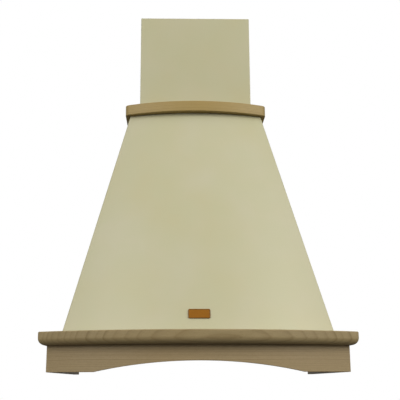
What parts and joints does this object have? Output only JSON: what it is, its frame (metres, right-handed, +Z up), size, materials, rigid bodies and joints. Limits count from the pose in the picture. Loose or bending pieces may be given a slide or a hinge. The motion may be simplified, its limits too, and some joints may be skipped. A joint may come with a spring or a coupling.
{
  "type": "dome cooker hood",
  "caption": "Wall cooker hood with a bowed painted canopy and chimney, beech rail, arched apron and collar, hinged filters, lamps, buttons, blower and duct flaps.",
  "frame": {"origin": "centre of the four wall fixing holes, on the wall's face", "axes": "+X to the right seen from the front, +Y into the wall, +Z up"},
  "size_m": [0.6, 0.501, 0.804],
  "materials": {
    "cream_paint": "satin cream paint on steel",
    "beech": "plain beech with a greyish matt lacquer",
    "badge_brass": "blank amber-coloured plate",
    "galvanised": "galvanised sheet",
    "tray_steel": "fine brushed steel",
    "filter_aluminium": "bare aluminium",
    "zinc": "bright zinc plate",
    "lamp_white": "white moulded plastic",
    "lamp_chrome": "bright plated ring",
    "lamp_glass": "clear pressed glass",
    "bulb": "frosted lamp body",
    "fascia_plastic": "dark brown moulded plastic",
    "button_plastic": "cream moulded plastic",
    "grey_plastic": "grey moulded plastic",
    "black_plastic": "black moulded plastic",
    "motor_aluminium": "cast motor body",
    "shaft_steel": "ground steel"
  },
  "bodies": {
    "root": {"canopy_shell": "cream_paint", "chimney_cover": "cream_paint", "rail_front": "beech", "rail_left": "beech", "rail_right": "beech", "apron_front": "beech", "apron_left": "beech", "apron_right": "beech", "collar_front": "beech", "collar_left": "beech", "collar_right": "beech", "corner_blocks": "beech", "badge_plate": "badge_brass", "back_plate": "galvanised", "blower_struts": "galvanised", "motor_spider": "galvanised", "base_tray": "tray_steel", "tray_screws": "zinc", "collar_screws": "zinc", "chassis_screws": "zinc", "blower_screws": "zinc", "motor_screws": "zinc", "lamp_housing_left": "lamp_white", "lamp_housing_right": "lamp_white", "lamp_bezel_left": "lamp_chrome", "lamp_bezel_right": "lamp_chrome", "lamp_lens_left": "lamp_glass", "lamp_lens_right": "lamp_glass", "lamp_bulb_left": "bulb", "lamp_bulb_right": "bulb", "control_fascia": "fascia_plastic", "scroll_left": "grey_plastic", "scroll_right": "grey_plastic", "electronics_box": "grey_plastic", "electronics_lid": "grey_plastic", "control_box": "grey_plastic", "outlet_spigot": "black_plastic", "cable_gland": "black_plastic", "motor": "motor_aluminium", "flap_pin": "shaft_steel"},
    "upper_chimney": {"chimney_extension": "cream_paint", "chimney_bracket": "galvanised", "chimney_screws": "zinc"},
    "filter_left": {"filter_frame_left": "filter_aluminium", "filter_mesh_left": "filter_aluminium"},
    "filter_right": {"filter_frame_right": "filter_aluminium", "filter_mesh_right": "filter_aluminium"},
    "latch_left": {"filter_latch_left": "button_plastic"},
    "latch_right": {"filter_latch_right": "button_plastic"},
    "rotor": {"impeller_hub": "black_plastic", "impeller_blades": "black_plastic", "impeller_rings": "black_plastic", "motor_shaft": "shaft_steel"},
    "front_flap": {"flap_front": "black_plastic"},
    "rear_flap": {"flap_rear": "black_plastic"},
    "off_button": {"button_off": "button_plastic"},
    "speed_one_button": {"button_speed_one": "button_plastic"},
    "speed_two_button": {"button_speed_two": "button_plastic"},
    "speed_three_button": {"button_speed_three": "button_plastic"},
    "light_button": {"button_light": "button_plastic"}
  },
  "joints": [
    {"name": "chimney_slide", "type": "slide", "parent": "root", "child": "upper_chimney", "axis": [0, 0, 1], "range_m": [0, 0.19]},
    {"name": "impeller_spin", "type": "hinge", "parent": "root", "child": "rotor", "pos_m": [0, -0.174, -0.08], "axis": [1, 0, 0], "continuous": true},
    {"name": "front_flap_hinge", "type": "hinge", "parent": "root", "child": "front_flap", "pos_m": [0, -0.12, 0.119], "axis": [-1, 0, 0], "range_deg": [0, 78]},
    {"name": "rear_flap_hinge", "type": "hinge", "parent": "root", "child": "rear_flap", "pos_m": [0, -0.12, 0.119], "axis": [1, 0, 0], "range_deg": [0, 78]},
    {"name": "filter_left_hinge", "type": "hinge", "parent": "root", "child": "filter_left", "pos_m": [-0.118, -0.018, -0.2777], "axis": [1, 0, 0], "range_deg": [0, 70]},
    {"name": "latch_left_slide", "type": "slide", "parent": "filter_left", "child": "latch_left", "axis": [0, 1, 0], "range_m": [0, 0.006], "stiffness_N_per_m": 300},
    {"name": "filter_right_hinge", "type": "hinge", "parent": "root", "child": "filter_right", "pos_m": [0.118, -0.018, -0.2777], "axis": [1, 0, 0], "range_deg": [0, 70]},
    {"name": "latch_right_slide", "type": "slide", "parent": "filter_right", "child": "latch_right", "axis": [0, 1, 0], "range_m": [0, 0.006], "stiffness_N_per_m": 300},
    {"name": "off_press", "type": "slide", "parent": "root", "child": "off_button", "axis": [0, 0, 1], "range_m": [0, 0.003], "stiffness_N_per_m": 400, "springref_m": -0.001},
    {"name": "speed_one_press", "type": "slide", "parent": "root", "child": "speed_one_button", "axis": [0, 0, 1], "range_m": [0, 0.003], "stiffness_N_per_m": 400, "springref_m": -0.001},
    {"name": "speed_two_press", "type": "slide", "parent": "root", "child": "speed_two_button", "axis": [0, 0, 1], "range_m": [0, 0.003], "stiffness_N_per_m": 400, "springref_m": -0.001},
    {"name": "speed_three_press", "type": "slide", "parent": "root", "child": "speed_three_button", "axis": [0, 0, 1], "range_m": [0, 0.003], "stiffness_N_per_m": 400, "springref_m": -0.001},
    {"name": "light_press", "type": "slide", "parent": "root", "child": "light_button", "axis": [0, 0, 1], "range_m": [0, 0.003], "stiffness_N_per_m": 400, "springref_m": -0.001}
  ]
}
